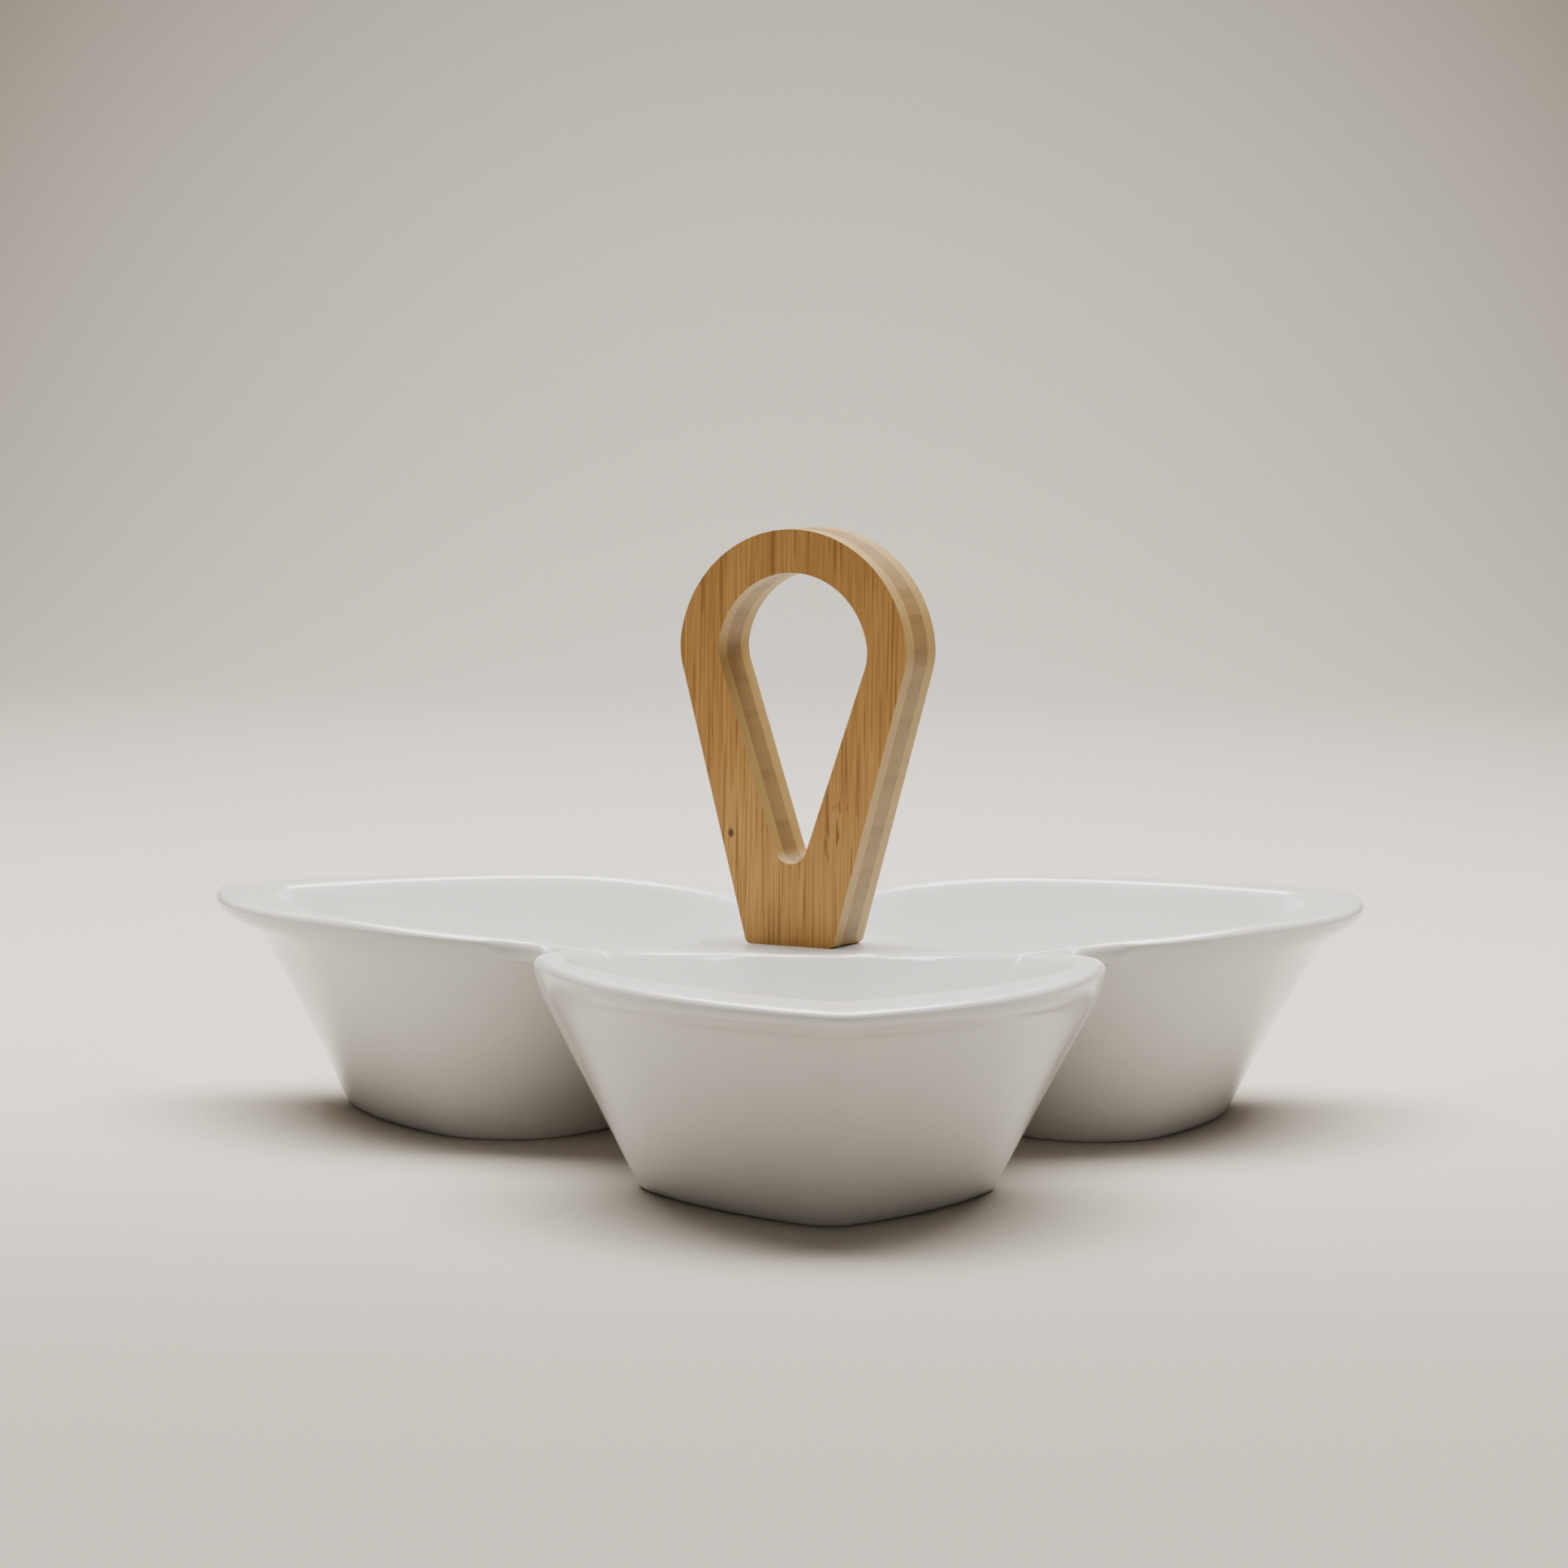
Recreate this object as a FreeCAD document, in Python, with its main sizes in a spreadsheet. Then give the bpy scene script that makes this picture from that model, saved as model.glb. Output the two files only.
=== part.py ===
import FreeCAD, Part
import math
import os
import Sketcher

# A three-bowl serving dish in glazed ceramic, with a laminated bamboo loop handle that is
# screwed down on its central platform.  Millimetres, +Z up.  The origin lies on the dish's
# vertical axis at table level.  The handle stands in the XZ plane, facing -Y, and one bowl
# points along -X.

V = FreeCAD.Vector

SIZES = {
    # rim outline of one bowl, measured along and across the bowl's own axis
    "rimReach": 138.6,
    "rimTipRound": 4.5,
    "rimSweep": 92.0,
    "rimWidestAt": 61.5,
    "rimHalfWidth": 54.5,
    "rimShoulder": 51.5,
    "rimInner": 8.5,
    # foot outline of one bowl
    "footReach": 106.0,
    "footTipRound": 6.5,
    "footSweep": 105.0,
    "footWidestAt": 59.0,
    "footHalfWidth": 34.0,
    "footShoulder": 17.0,
    "footInner": 40.0,
    # heights of the dish
    "rimHeight": 43.6,
    "crestRise": 1.5,
    "crestRadius": 92.0,
    "topReach": 150.0,
    "cutAbove": 6.0,
    "platformDrop": 3.5,
    "platformThick": 6.5,
    "platformRadius": 21.8,
    "platformFlare": 19.5,
    "ribThick": 5.0,
    "ribHalfWidth": 4.5,
    "webHalfWidth": 11.2,
    "notchReach": 59.7,
    "notchRound": 14.1,
    # lip and walls
    "lipThick": 2.4,
    "lipDepth": 3.4,
    "lipTip": 11.5,
    "lipSide": 1.3,
    "wallThick": 4.6,
    "floorThick": 5.0,
    "floorInset": 6.0,
    "wallStartOut": 0.6,
    "floorRound": 6.0,
    # handle board
    "handleRise": 83.5,
    "headRadius": 25.5,
    "neckHalf": 10.1,
    "neckRound": 1.5,
    "loopWall": 8.7,
    "slotAbove": 16.5,
    "slotEndRound": 3.7,
    "bendRound": 15.0,
    "slotBendRound": 10.0,
    "facePly": 3.6,
    "coreHalf": 3.0,
    # fastening under the handle
    "screwRadius": 2.5,
    "screwLength": 20.0,
    "screwClear": 0.75,
    "threadClear": 0.05,
    "screwHeadRadius": 4.75,
    "screwHeadDepth": 2.8,
    "screwHeadEdge": 1.5,
    "keyAcross": 3.0,
    "keyDepth": 1.6,
    "insertRadius": 3.5,
    "insertLength": 10.0,
    "insertRecess": 0.5,
    "insertLand": 3.0,
    "insertGrooveWidth": 0.6,
    "insertGrooveDepth": 0.3,
    "boreSpare": 1.0,
    "washerRadius": 7.5,
    "washerThick": 1.0,
    "padRadius": 8.5,
    "padThick": 1.5,
}
BOWLS = 3

# heights named by the pieces that meet there, as sums of sizes
SEAT = "rimHeight - platformDrop"
HEAD_AT = SEAT + " + handleRise - headRadius"
SLOT_END_AT = SEAT + " + slotAbove + slotEndRound"
UNDERSIDE = SEAT + " - platformThick"
UNDER_HEAD = UNDERSIDE + " - padThick - washerThick"

# the leaf outlines, each in the same seven terms
RIM = {
    "reach": "rimReach",
    "tipRound": "rimTipRound",
    "sweep": "rimSweep",
    "widestAt": "rimWidestAt",
    "halfWidth": "rimHalfWidth",
    "shoulder": "rimShoulder",
    "inner": "rimInner",
}
WALL_TOP = dict(
    RIM,
    reach="rimReach - lipTip",
    halfWidth="rimHalfWidth - lipSide",
    shoulder="rimShoulder - lipSide",
    inner="rimInner + lipSide",
)
FOOT = {
    "reach": "footReach",
    "tipRound": "footTipRound",
    "sweep": "footSweep",
    "widestAt": "footWidestAt",
    "halfWidth": "footHalfWidth",
    "shoulder": "footShoulder",
    "inner": "footInner",
}
CAVITY_TOP = dict(
    RIM,
    reach="rimReach - lipTip - wallThick",
    halfWidth="rimHalfWidth - lipSide - wallThick",
    shoulder="rimShoulder - lipSide - wallThick",
    inner="rimInner + lipSide + wallThick",
)
WALL_START = dict(
    FOOT,
    reach="footReach + wallStartOut",
    halfWidth="footHalfWidth + wallStartOut",
    shoulder="footShoulder + wallStartOut",
    inner="footInner + wallStartOut",
)
FLOOR = dict(
    FOOT,
    reach="footReach - floorInset",
    halfWidth="footHalfWidth - floorInset",
    shoulder="footShoulder - floorInset",
    inner="footInner + floorInset + wallStartOut",
)

doc = FreeCAD.newDocument("chip_and_dip_server")
sheet = doc.addObject("Spreadsheet::Sheet", "Sizes")
for row, (alias, number) in enumerate(SIZES.items(), start=1):
    sheet.set(f"A{row}", alias)
    sheet.set(f"B{row}", str(number))
    sheet.setAlias(f"B{row}", alias)
doc.recompute()


def number(terms):
    """Value of a sum of named sizes, such as "rimReach - lipTip"."""
    result = 0.0
    sign = 1.0
    for word in terms.split():
        if word in "+-":
            sign = -1.0 if word == "-" else 1.0
        else:
            result += sign * SIZES[word]
            sign = 1.0
    return result


def formula(terms):
    """The same sum as an expression on the sheet."""
    words = [word if word in "+-" else "Sizes." + word for word in terms.split()]
    return " ".join(words)


def negated(terms):
    """The same sum with every sign turned over."""
    words = terms.split()
    if words[0] not in "+-":
        words.insert(0, "+")
    return " ".join({"+": "-", "-": "+"}.get(word, word) for word in words)


def less(first, second):
    """The sum first minus the sum second."""
    return first + " " + negated(second)


def bind(item, attribute, terms):
    item.setExpression(attribute, formula(terms))


def new_body(name):
    body = doc.addObject("PartDesign::Body", name)
    body.Label = name
    return body


def origin_part(body, role):
    return next(item for item in body.Origin.OriginFeatures if item.Role == role)


def new_sketch(body, name, plane="XY_Plane", height=None, turn=0.0):
    """A sketch on an origin plane, lifted along the plane's normal by a sum of sizes."""
    sketch = body.newObject("Sketcher::SketchObject", name)
    sketch.AttachmentSupport = [(origin_part(body, plane), "")]
    sketch.MapMode = "FlatFace"
    lift = number(height) if height else 0.0
    sketch.AttachmentOffset = FreeCAD.Placement(V(0, 0, lift), FreeCAD.Rotation(V(0, 0, 1), turn))
    if height:
        bind(sketch, "AttachmentOffset.Base.z", height)
    return sketch


def dimension(sketch, kind, place, terms):
    """A driving dimension whose value is a sum of named sizes."""
    index = sketch.addConstraint(Sketcher.Constraint(kind, *place, number(terms)))
    bind(sketch, f"Constraints[{index}]", terms)


def arc_through(centre, radius, start, end):
    """The arc about centre that runs from the direction of start to that of end, by the short way."""
    first = math.atan2(start.y - centre.y, start.x - centre.x)
    last = math.atan2(end.y - centre.y, end.x - centre.x)
    if (last - first) % (2 * math.pi) > math.pi:
        first, last = last, first
    return Part.ArcOfCircle(Part.Circle(centre, V(0, 0, 1), radius), first, last)


def leaf_centres(leaf):
    """Centres of the tip, side, shoulder and inner arcs of a leaf outline, each tangent to the
    next, and the radius of the inner one."""
    tip_round, sweep, shoulder = (number(leaf[key]) for key in ("tipRound", "sweep", "shoulder"))
    tip = V(number(leaf["reach"]) - tip_round, 0, 0)
    corner = V(number(leaf["widestAt"]), number(leaf["halfWidth"]) - shoulder, 0)
    line = corner - tip
    along = ((sweep - tip_round) ** 2 - (sweep - shoulder) ** 2 + line.Length ** 2) / (2 * line.Length)
    across = math.sqrt((sweep - tip_round) ** 2 - along ** 2)
    unit = line / line.Length
    side = tip + unit * along + V(-unit.y, unit.x, 0) * across
    run = corner.x - number(leaf["inner"])
    inner_radius = (run ** 2 + corner.y ** 2 - shoulder ** 2) / (2 * (run - shoulder))
    back = V(number(leaf["inner"]) + inner_radius, 0, 0)
    return tip, side, corner, back, inner_radius


def mirror(point):
    return V(point.x, -point.y, 0)


def leaf_sketch(body, name, height, leaf):
    """A leaf outline along the bowl's axis: a round tip, two swept sides, two shoulders and
    a round inner end, six arcs in all, each tangent to the next."""
    sketch = new_sketch(body, name, "XY_Plane", height, 180.0)
    tip, side, corner, back, inner_radius = leaf_centres(leaf)
    tip_round, sweep, shoulder = (number(leaf[key]) for key in ("tipRound", "sweep", "shoulder"))
    tip_join = side + (tip - side) * (sweep / (sweep - tip_round))
    corner_join = side + (corner - side) * (sweep / (sweep - shoulder))
    back_join = back + (corner - back) * (inner_radius / (inner_radius - shoulder))
    arcs = [
        arc_through(tip, tip_round, mirror(tip_join), tip_join),
        arc_through(side, sweep, tip_join, corner_join),
        arc_through(corner, shoulder, corner_join, back_join),
        Part.ArcOfCircle(
            Part.Circle(back, V(0, 0, 1), inner_radius),
            math.atan2(back_join.y, back_join.x - back.x),
            2 * math.pi - math.atan2(back_join.y, back_join.x - back.x),
        ),
        arc_through(mirror(corner), shoulder, mirror(back_join), mirror(corner_join)),
        arc_through(mirror(side), sweep, mirror(corner_join), mirror(tip_join)),
    ]
    sketch.addGeometry(arcs, False)
    count = len(arcs)
    for index in range(count):
        following = (index + 1) % count
        sketch.addConstraint(Sketcher.Constraint("Tangent", index, 2, following, 1))
    sketch.addConstraint(Sketcher.Constraint("PointOnObject", 0, 3, -1))
    sketch.addConstraint(Sketcher.Constraint("PointOnObject", 3, 3, -1))
    sketch.addConstraint(Sketcher.Constraint("Equal", 1, 5))
    sketch.addConstraint(Sketcher.Constraint("Equal", 2, 4))
    dimension(sketch, "Radius", (0,), leaf["tipRound"])
    dimension(sketch, "Radius", (1,), leaf["sweep"])
    dimension(sketch, "Radius", (2,), leaf["shoulder"])
    dimension(sketch, "DistanceX", (-1, 1, 0, 3), leaf["reach"] + " - " + leaf["tipRound"])
    dimension(sketch, "DistanceX", (-1, 1, 2, 3), leaf["widestAt"])
    dimension(sketch, "DistanceY", (-1, 1, 2, 3), less(leaf["halfWidth"], leaf["shoulder"]))
    inner_end = sketch.addGeometry(Part.Point(V(number(leaf["inner"]), 0, 0)), True)
    sketch.addConstraint(Sketcher.Constraint("PointOnObject", inner_end, 1, -1))
    sketch.addConstraint(Sketcher.Constraint("PointOnObject", inner_end, 1, 3))
    dimension(sketch, "DistanceX", (-1, 1, inner_end, 1), leaf["inner"])
    return sketch


def add_loft(body, name, low, high, kind="PartDesign::AdditiveLoft"):
    loft = body.newObject(kind, name)
    loft.Profile = low
    loft.Sections = [high]
    loft.Ruled = True
    low.Visibility = False
    high.Visibility = False
    doc.recompute()
    return loft


def add_pad(body, name, sketch, length, down=False):
    pad = body.newObject("PartDesign::Pad", name)
    pad.Profile = sketch
    pad.Reversed = down
    bind(pad, "Length", length)
    doc.recompute()
    return pad


def spread(body, name, features):
    """Repeats features around the dish's axis, once for each bowl."""
    pattern = body.newObject("PartDesign::PolarPattern", name)
    pattern.Originals = features
    pattern.Axis = (origin_part(body, "Z_Axis"), [""])
    pattern.Angle = 360.0
    pattern.Occurrences = BOWLS
    body.Tip = pattern
    doc.recompute()
    return pattern


def make_blank():
    """The dish before its bowls are hollowed: three drafted bowls on their own feet, the
    flared lip, the central platform and the ribs between the bowls."""
    body = new_body("dish_blank")
    foot = leaf_sketch(body, "foot_outline", None, FOOT)
    wall = leaf_sketch(body, "wall_outline", "rimHeight - lipThick - lipDepth", WALL_TOP)
    walls = add_loft(body, "bowl_walls", foot, wall)
    wall_again = leaf_sketch(body, "lip_root", "rimHeight - lipThick - lipDepth", WALL_TOP)
    rim_under = leaf_sketch(body, "lip_underside", "rimHeight - lipThick", RIM)
    flare = add_loft(body, "lip_flare", wall_again, rim_under)
    rim = leaf_sketch(body, "rim_outline", "rimHeight - lipThick", RIM)
    plate = add_pad(body, "lip_plate", rim, "lipThick + crestRise")
    spread(body, "three_bowls", [walls, flare, plate])
    disc = new_sketch(body, "platform_outline", "XY_Plane", "rimHeight - platformDrop")
    disc.addGeometry(Part.Circle(V(0, 0, 0), V(0, 0, 1), SIZES["platformRadius"]), False)
    disc.addConstraint(Sketcher.Constraint("Coincident", 0, 3, -1, 1))
    dimension(disc, "Radius", (0,), "platformRadius")
    add_pad(body, "platform", disc, "platformThick", down=True)
    rib = new_sketch(body, "rib_outline", "XY_Plane", "rimHeight - ribThick")
    half, wide, notch = SIZES["ribHalfWidth"], SIZES["webHalfWidth"], SIZES["notchRound"]
    middle = V(number("notchReach + notchRound"), 0, 0)
    spread_angle = math.asin(wide / notch)
    across = middle.x - notch * math.cos(spread_angle)
    rib.addGeometry(
        [
            Part.LineSegment(V(0, -half, 0), V(across, -wide, 0)),
            Part.ArcOfCircle(
                Part.Circle(middle, V(0, 0, 1), notch), math.pi - spread_angle, math.pi + spread_angle
            ),
            Part.LineSegment(V(across, wide, 0), V(0, half, 0)),
            Part.LineSegment(V(0, half, 0), V(0, -half, 0)),
        ],
        False,
    )
    for first, second in (((0, 2), (1, 2)), ((1, 1), (2, 1)), ((2, 2), (3, 1)), ((3, 2), (0, 1))):
        rib.addConstraint(Sketcher.Constraint("Coincident", *first, *second))
    place_point(rib, 1, 3, "notchReach + notchRound", "")
    dimension(rib, "Radius", (1,), "notchRound")
    dimension(rib, "DistanceY", (1, 2, -1, 1), "webHalfWidth")
    dimension(rib, "DistanceY", (-1, 1, 1, 1), "webHalfWidth")
    place_point(rib, 0, 1, "", "- ribHalfWidth")
    place_point(rib, 2, 2, "", "ribHalfWidth")
    web = add_pad(body, "rib", rib, "ribThick + crestRise")
    spread(body, "three_ribs", [web])
    return body


def profile_points(sketch, points):
    """A closed line through points, each placed from the origin by two sums of sizes."""
    corners = [V(number(across), number(up), 0) for across, up in points]
    count = len(corners)
    for index, corner in enumerate(corners):
        sketch.addGeometry(Part.LineSegment(corner, corners[(index + 1) % count]), False)
    for index in range(count):
        sketch.addConstraint(Sketcher.Constraint("Coincident", index, 2, (index + 1) % count, 1))
    for index, (across, up) in enumerate(points):
        place_point(sketch, index, 1, across, up)


def place_point(sketch, geometry, end, across, up):
    """Places one point of a sketch; an empty sum puts it on the axis."""
    for kind, terms, axis in (("DistanceX", across, -2), ("DistanceY", up, -1)):
        if not terms:
            sketch.addConstraint(Sketcher.Constraint("PointOnObject", geometry, end, axis))
        elif number(terms) < 0:
            dimension(sketch, kind, (geometry, end, -1, 1), negated(terms))
        else:
            dimension(sketch, kind, (-1, 1, geometry, end), terms)


def make_top(body):
    """Cuts the top surface to its turned profile: a flat platform, then a rise to a low crest
    half way out along the bowls, and a slight fall to their tips."""
    sketch = new_sketch(body, "top_profile", "XZ_Plane")
    profile_points(
        sketch,
        [
            ("", "rimHeight - platformDrop"),
            ("platformRadius", "rimHeight - platformDrop"),
            ("crestRadius", "rimHeight + crestRise"),
            ("topReach", "rimHeight"),
            ("topReach", "rimHeight + cutAbove"),
            ("", "rimHeight + cutAbove"),
        ],
    )
    groove = body.newObject("PartDesign::Groove", "turned_top")
    groove.Profile = sketch
    groove.ReferenceAxis = (sketch, ["V_Axis"])
    groove.Angle = 360.0
    doc.recompute()
    hole = new_sketch(body, "screw_hole_outline", "XY_Plane", "rimHeight")
    hole.addGeometry(Part.Circle(V(0, 0, 0), V(0, 0, 1), number("screwRadius + screwClear")), False)
    hole.addConstraint(Sketcher.Constraint("Coincident", 0, 3, -1, 1))
    dimension(hole, "Radius", (0,), "screwRadius + screwClear")
    pocket = body.newObject("PartDesign::Pocket", "screw_hole")
    pocket.Profile = hole
    pocket.Type = "ThroughAll"
    doc.recompute()


def make_cavities():
    """The three hollows: lofts from the floor to the rim, kept off the platform, whose side
    runs down into each bowl as a cone."""
    body = new_body("bowl_hollows")
    body.AllowCompound = True
    floor = leaf_sketch(body, "floor_outline", "floorThick", FLOOR)
    knee = leaf_sketch(body, "wall_start", "floorThick + floorRound", WALL_START)
    edge = add_loft(body, "floor_edge", floor, knee)
    knee_again = leaf_sketch(body, "wall_start_again", "floorThick + floorRound", WALL_START)
    top = leaf_sketch(body, "hollow_top", "rimHeight + crestRise", CAVITY_TOP)
    hollow = add_loft(body, "hollow", knee_again, top)
    spread(body, "three_hollows", [edge, hollow])
    cone = new_sketch(body, "platform_side", "XZ_Plane")
    profile_points(
        cone,
        [
            ("", ""),
            ("platformRadius + platformFlare", ""),
            ("platformRadius", SEAT),
            ("platformRadius", "rimHeight + cutAbove"),
            ("", "rimHeight + cutAbove"),
        ],
    )
    groove = body.newObject("PartDesign::Groove", "platform_clear")
    groove.Profile = cone
    groove.ReferenceAxis = (cone, ["V_Axis"])
    groove.Angle = 360.0
    doc.recompute()
    return body


def make_dish():
    blank = make_blank()
    make_top(blank)
    hollows = make_cavities()
    dish = doc.addObject("Part::Cut", "dish")
    dish.Base = blank
    dish.Tool = hollows
    dish.Label = "dish"
    doc.recompute()
    return dish


def handle_outline(sketch):
    """The board's outline: a half-round head, straight sides that taper to the foot, and a
    loop slot with a half-round top and a narrow round lower end."""
    head = V(0, number(HEAD_AT), 0)
    radius = SIZES["headRadius"]
    seat = number(SEAT)
    neck, soft = SIZES["neckHalf"], SIZES["neckRound"]
    left_foot, right_foot = V(soft - neck, seat + soft, 0), V(neck - soft, seat + soft, 0)
    outline = [
        Part.ArcOfCircle(Part.Circle(head, V(0, 0, 1), radius), 0, math.pi),
        Part.LineSegment(V(-radius, head.y, 0), V(-neck, seat + soft, 0)),
        Part.ArcOfCircle(Part.Circle(left_foot, V(0, 0, 1), soft), math.pi, 1.5 * math.pi),
        Part.LineSegment(V(soft - neck, seat, 0), V(neck - soft, seat, 0)),
        Part.ArcOfCircle(Part.Circle(right_foot, V(0, 0, 1), soft), -0.5 * math.pi, 0),
        Part.LineSegment(V(neck, seat + soft, 0), V(radius, head.y, 0)),
    ]
    sketch.addGeometry(outline, False)
    for index in range(6):
        sketch.addConstraint(Sketcher.Constraint("Coincident", index, 2, (index + 1) % 6, 1))
    place_point(sketch, 0, 3, "", HEAD_AT)
    place_point(sketch, 0, 1, "headRadius", HEAD_AT)
    sketch.addConstraint(Sketcher.Constraint("Horizontal", 0, 3, 0, 2))
    place_point(sketch, 2, 3, "neckRound - neckHalf", SEAT + " + neckRound")
    place_point(sketch, 4, 3, "neckHalf - neckRound", SEAT + " + neckRound")
    place_point(sketch, 2, 1, "- neckHalf", SEAT + " + neckRound")
    place_point(sketch, 4, 2, "neckHalf", SEAT + " + neckRound")
    sketch.addConstraint(Sketcher.Constraint("Vertical", 2, 3, 2, 2))
    sketch.addConstraint(Sketcher.Constraint("Vertical", 4, 3, 4, 1))
    inner = radius - SIZES["loopWall"]
    end = SIZES["slotEndRound"]
    low = V(0, number(SLOT_END_AT), 0)
    drop = head.y - low.y
    lean = math.acos(end / math.hypot(inner, drop)) - math.atan2(drop, inner)
    join = V(end * math.cos(lean), low.y - end * math.sin(lean), 0)
    slot = [
        Part.ArcOfCircle(Part.Circle(head, V(0, 0, 1), inner), 0, math.pi),
        Part.LineSegment(V(-inner, head.y, 0), V(-join.x, join.y, 0)),
        Part.ArcOfCircle(Part.Circle(low, V(0, 0, 1), end), math.pi + lean, 2 * math.pi - lean),
        Part.LineSegment(join, V(inner, head.y, 0)),
    ]
    sketch.addGeometry(slot, False)
    sketch.addConstraint(Sketcher.Constraint("Coincident", 6, 2, 7, 1))
    sketch.addConstraint(Sketcher.Constraint("Tangent", 7, 2, 8, 1))
    sketch.addConstraint(Sketcher.Constraint("Tangent", 8, 2, 9, 1))
    sketch.addConstraint(Sketcher.Constraint("Coincident", 9, 2, 6, 1))
    sketch.addConstraint(Sketcher.Constraint("Coincident", 6, 3, 0, 3))
    place_point(sketch, 6, 1, "headRadius - loopWall", HEAD_AT)
    sketch.addConstraint(Sketcher.Constraint("Horizontal", 6, 3, 6, 2))
    place_point(sketch, 8, 3, "", SLOT_END_AT)
    dimension(sketch, "Radius", (8,), "slotEndRound")


def make_ply(name, front, thickness):
    """One lamination of the handle board, from its front face at the sum front, going back."""
    body = new_body(name)
    sketch = new_sketch(body, name + "_outline", "XZ_Plane", front)
    handle_outline(sketch)
    add_pad(body, name + "_board", sketch, thickness, down=True)
    bore_up(body, name + "_insert_bore", "insertRadius", "insertRecess + insertLength + boreSpare")
    tip_room = "screwLength - platformThick - padThick - washerThick + boreSpare"
    pocket = bore_up(body, name + "_screw_bore", "screwRadius + screwClear", tip_room)
    soften_bends(body, name + "_head_bends", pocket, "headRadius", "bendRound")
    soften_bends(body, name + "_slot_bends", body.Tip, "headRadius - loopWall", "slotBendRound")
    return body


def bore_up(body, name, radius, depth):
    """A blind hole from the handle's seat upwards, on the dish's axis."""
    outline = new_sketch(body, name + "_outline", "XY_Plane", SEAT)
    outline.addGeometry(Part.Circle(V(0, 0, 0), V(0, 0, 1), number(radius)), False)
    outline.addConstraint(Sketcher.Constraint("Coincident", 0, 3, -1, 1))
    dimension(outline, "Radius", (0,), radius)
    pocket = body.newObject("PartDesign::Pocket", name)
    pocket.Profile = outline
    pocket.Reversed = True
    bind(pocket, "Length", depth)
    doc.recompute()
    return pocket


def soften_bends(body, name, base, half, radius):
    """Rounds the two edges where the head's arc, of radius half, meets the straight sides."""
    edges = []
    for index, edge in enumerate(base.Shape.Edges, start=1):
        middle = edge.CenterOfMass
        level = abs(middle.z - number(HEAD_AT)) < 0.01
        if level and abs(abs(middle.x) - number(half)) < 0.01:
            edges.append(f"Edge{index}")
    fillet = body.newObject("PartDesign::Fillet", name)
    fillet.Base = (base, edges)
    bind(fillet, "Radius", radius)
    body.Tip = fillet
    doc.recompute()


def turned(name, points):
    """A turned piece: a closed profile in the XZ plane, spun about the vertical axis."""
    body = new_body(name)
    sketch = new_sketch(body, name + "_profile", "XZ_Plane")
    profile_points(sketch, points)
    spin = body.newObject("PartDesign::Revolution", name + "_spin")
    spin.Profile = sketch
    spin.ReferenceAxis = (sketch, ["V_Axis"])
    spin.Angle = 360.0
    doc.recompute()
    return body


def make_ring(name, outer, top, thickness):
    """A flat washer round the screw that hangs down from the sum top."""
    inner = "screwRadius + threadClear"
    low = less(top, thickness)
    return turned(name, [(inner, low), (outer, low), (outer, top), (inner, top)])


def make_insert():
    """A brass threaded insert, with two grip grooves round its outside."""
    low = SEAT + " + insertRecess"
    steps = [("screwRadius + threadClear", low), ("insertRadius", low)]
    level = low
    for _ in range(2):
        level += " + insertLand"
        steps.append(("insertRadius", level))
        steps.append(("insertRadius - insertGrooveDepth", level))
        level += " + insertGrooveWidth"
        steps.append(("insertRadius - insertGrooveDepth", level))
        steps.append(("insertRadius", level))
    top = low + " + insertLength"
    steps.extend([("insertRadius", top), ("screwRadius + threadClear", top)])
    return turned("handle_insert", steps)


def make_screw():
    """A button-head machine screw, driven up from below through the platform."""
    under = UNDER_HEAD
    head_low = less(under, "screwHeadDepth")
    body = turned(
        "handle_screw",
        [
            ("", head_low),
            ("screwRadius", head_low),
            ("screwHeadRadius", less(under, "screwHeadEdge")),
            ("screwHeadRadius", under),
            ("screwRadius", under),
            ("screwRadius", under + " + screwLength"),
            ("", under + " + screwLength"),
        ],
    )
    key = new_sketch(body, "key_outline", "XY_Plane", head_low)
    across = SIZES["keyAcross"] / math.sqrt(3.0)
    turns = [math.pi / 3 * index for index in range(6)]
    points = [V(across * math.cos(turn), across * math.sin(turn), 0) for turn in turns]
    for index, point in enumerate(points):
        key.addGeometry(Part.LineSegment(point, points[(index + 1) % 6]), False)
    guide = key.addGeometry(Part.Circle(V(0, 0, 0), V(0, 0, 1), across), True)
    for index in range(6):
        key.addConstraint(Sketcher.Constraint("Coincident", index, 2, (index + 1) % 6, 1))
        key.addConstraint(Sketcher.Constraint("PointOnObject", index, 1, guide))
    for index in range(5):
        key.addConstraint(Sketcher.Constraint("Equal", index, index + 1))
    key.addConstraint(Sketcher.Constraint("Coincident", guide, 3, -1, 1))
    key.addConstraint(Sketcher.Constraint("Horizontal", 1))
    dimension(key, "DistanceY", (4, 1, 1, 1), "keyAcross")
    pocket = body.newObject("PartDesign::Pocket", "key_socket")
    pocket.Profile = key
    pocket.Reversed = True
    bind(pocket, "Length", "keyDepth")
    doc.recompute()
    return body


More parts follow.
